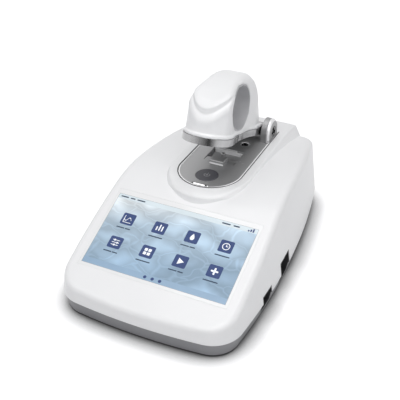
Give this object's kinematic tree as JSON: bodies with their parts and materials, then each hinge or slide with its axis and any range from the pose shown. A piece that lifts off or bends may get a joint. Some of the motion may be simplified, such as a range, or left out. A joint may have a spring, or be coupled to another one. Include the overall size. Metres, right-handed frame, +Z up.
{
  "type": "micro-volume spectrophotometer",
  "caption": "Bench instrument with an inclined touch screen, a metal sample deck with a key, and a hinged measuring arm with a finger-ring handle that closes onto a pedestal.",
  "frame": {"origin": "on the bench surface, under the middle of the bounding box of the housing and arm", "axes": "+Z up, +X to the right of the person who faces the screen, +Y to the rear of the instrument"},
  "size_m": [0.1974, 0.3186, 0.1883],
  "materials": {
    "housing_white": "gloss",
    "base_grey": "satin",
    "liner_grey": "satin",
    "touch_glass": "gloss",
    "display": "gloss",
    "black_tape": "matte",
    "sheet_steel": "satin",
    "screw_steel": "satin",
    "screw_black": "satin",
    "circuit_board": "satin",
    "board_black": "satin",
    "standoff_brass": "satin",
    "frame_aluminium": "satin",
    "deck_grey": "satin",
    "arm_aluminium": "brushed",
    "ear_silver": "brushed",
    "polished_steel": "polished",
    "gasket_rubber": "matte",
    "key_grey": "satin",
    "light_white": "gloss",
    "bearing_brass": "satin",
    "mirror_coat": "polished",
    "pod_black": "satin",
    "switch_black": "gloss",
    "foot_rubber": "matte"
  },
  "bodies": {
    "housing": {"top_cover": "housing_white", "base_tray": "base_grey", "touch_glass": "touch_glass", "glass_tape": "black_tape", "display_panel": "display", "display_backlight": "sheet_steel", "display_clips": "sheet_steel", "clip_screws": "screw_steel", "main_board": "circuit_board", "board_parts": "sheet_steel", "board_standoffs": "standoff_brass", "board_screws": "screw_steel", "power_board": "circuit_board", "power_parts": "board_black", "chassis": "frame_aluminium", "chassis_screws": "screw_steel", "deck_plate": "deck_grey", "deck_gasket": "gasket_rubber", "deck_screws": "screw_black", "key_board": "circuit_board", "key_switch": "board_black", "key_spacers": "standoff_brass", "status_light": "light_white", "light_frame": "switch_black", "stage_insert": "deck_grey", "sample_block": "deck_grey", "stage_wall": "polished_steel", "path_motor": "sheet_steel", "motor_bracket": "frame_aluminium", "left_ear": "ear_silver", "right_ear": "ear_silver", "ear_screws": "screw_steel", "hinge_bushes": "bearing_brass", "ear_caps": "ear_silver", "optical_bench": "frame_aluminium", "bench_lid": "screw_black", "grating": "mirror_coat", "fold_mirror": "mirror_coat", "detector_board": "circuit_board", "flash_lamp": "frame_aluminium", "lamp_supply": "board_black", "switch_pod": "pod_black", "port_pod": "pod_black", "rear_pod": "pod_black", "power_switch": "switch_black", "usb_sockets": "sheet_steel", "dc_jack": "board_black", "square_socket": "sheet_steel", "feet": "foot_rubber", "case_screws": "screw_steel"},
    "arm": {"arm_plate": "arm_aluminium", "hinge_pin": "polished_steel", "arm_cover": "housing_white", "arm_screws": "screw_steel", "finger_liner": "liner_grey", "upper_pedestal": "polished_steel"},
    "key": {"measure_key": "key_grey"},
    "rocker": {"power_rocker": "switch_black"},
    "lift": {"lower_pedestal": "polished_steel", "lift_rod": "screw_steel"}
  },
  "joints": [
    {"name": "arm_hinge", "type": "hinge", "parent": "housing", "child": "arm", "pos_m": [0, 0.103, 0.1037], "axis": [1, 0, 0], "range_deg": [-56.5, 18.5]},
    {"name": "key_press", "type": "slide", "parent": "housing", "child": "key", "axis": [0, 0, -1], "range_m": [0, 0.0008], "stiffness_N_per_m": 1500},
    {"name": "rocker_tilt", "type": "hinge", "parent": "housing", "child": "rocker", "pos_m": [0.0877, -0.0185, 0.0192], "axis": [0, 0, 1], "range_deg": [-20, 0]},
    {"name": "pedestal_lift", "type": "slide", "parent": "housing", "child": "lift", "axis": [0, 0, 1], "range_m": [0, 0.001]}
  ]
}
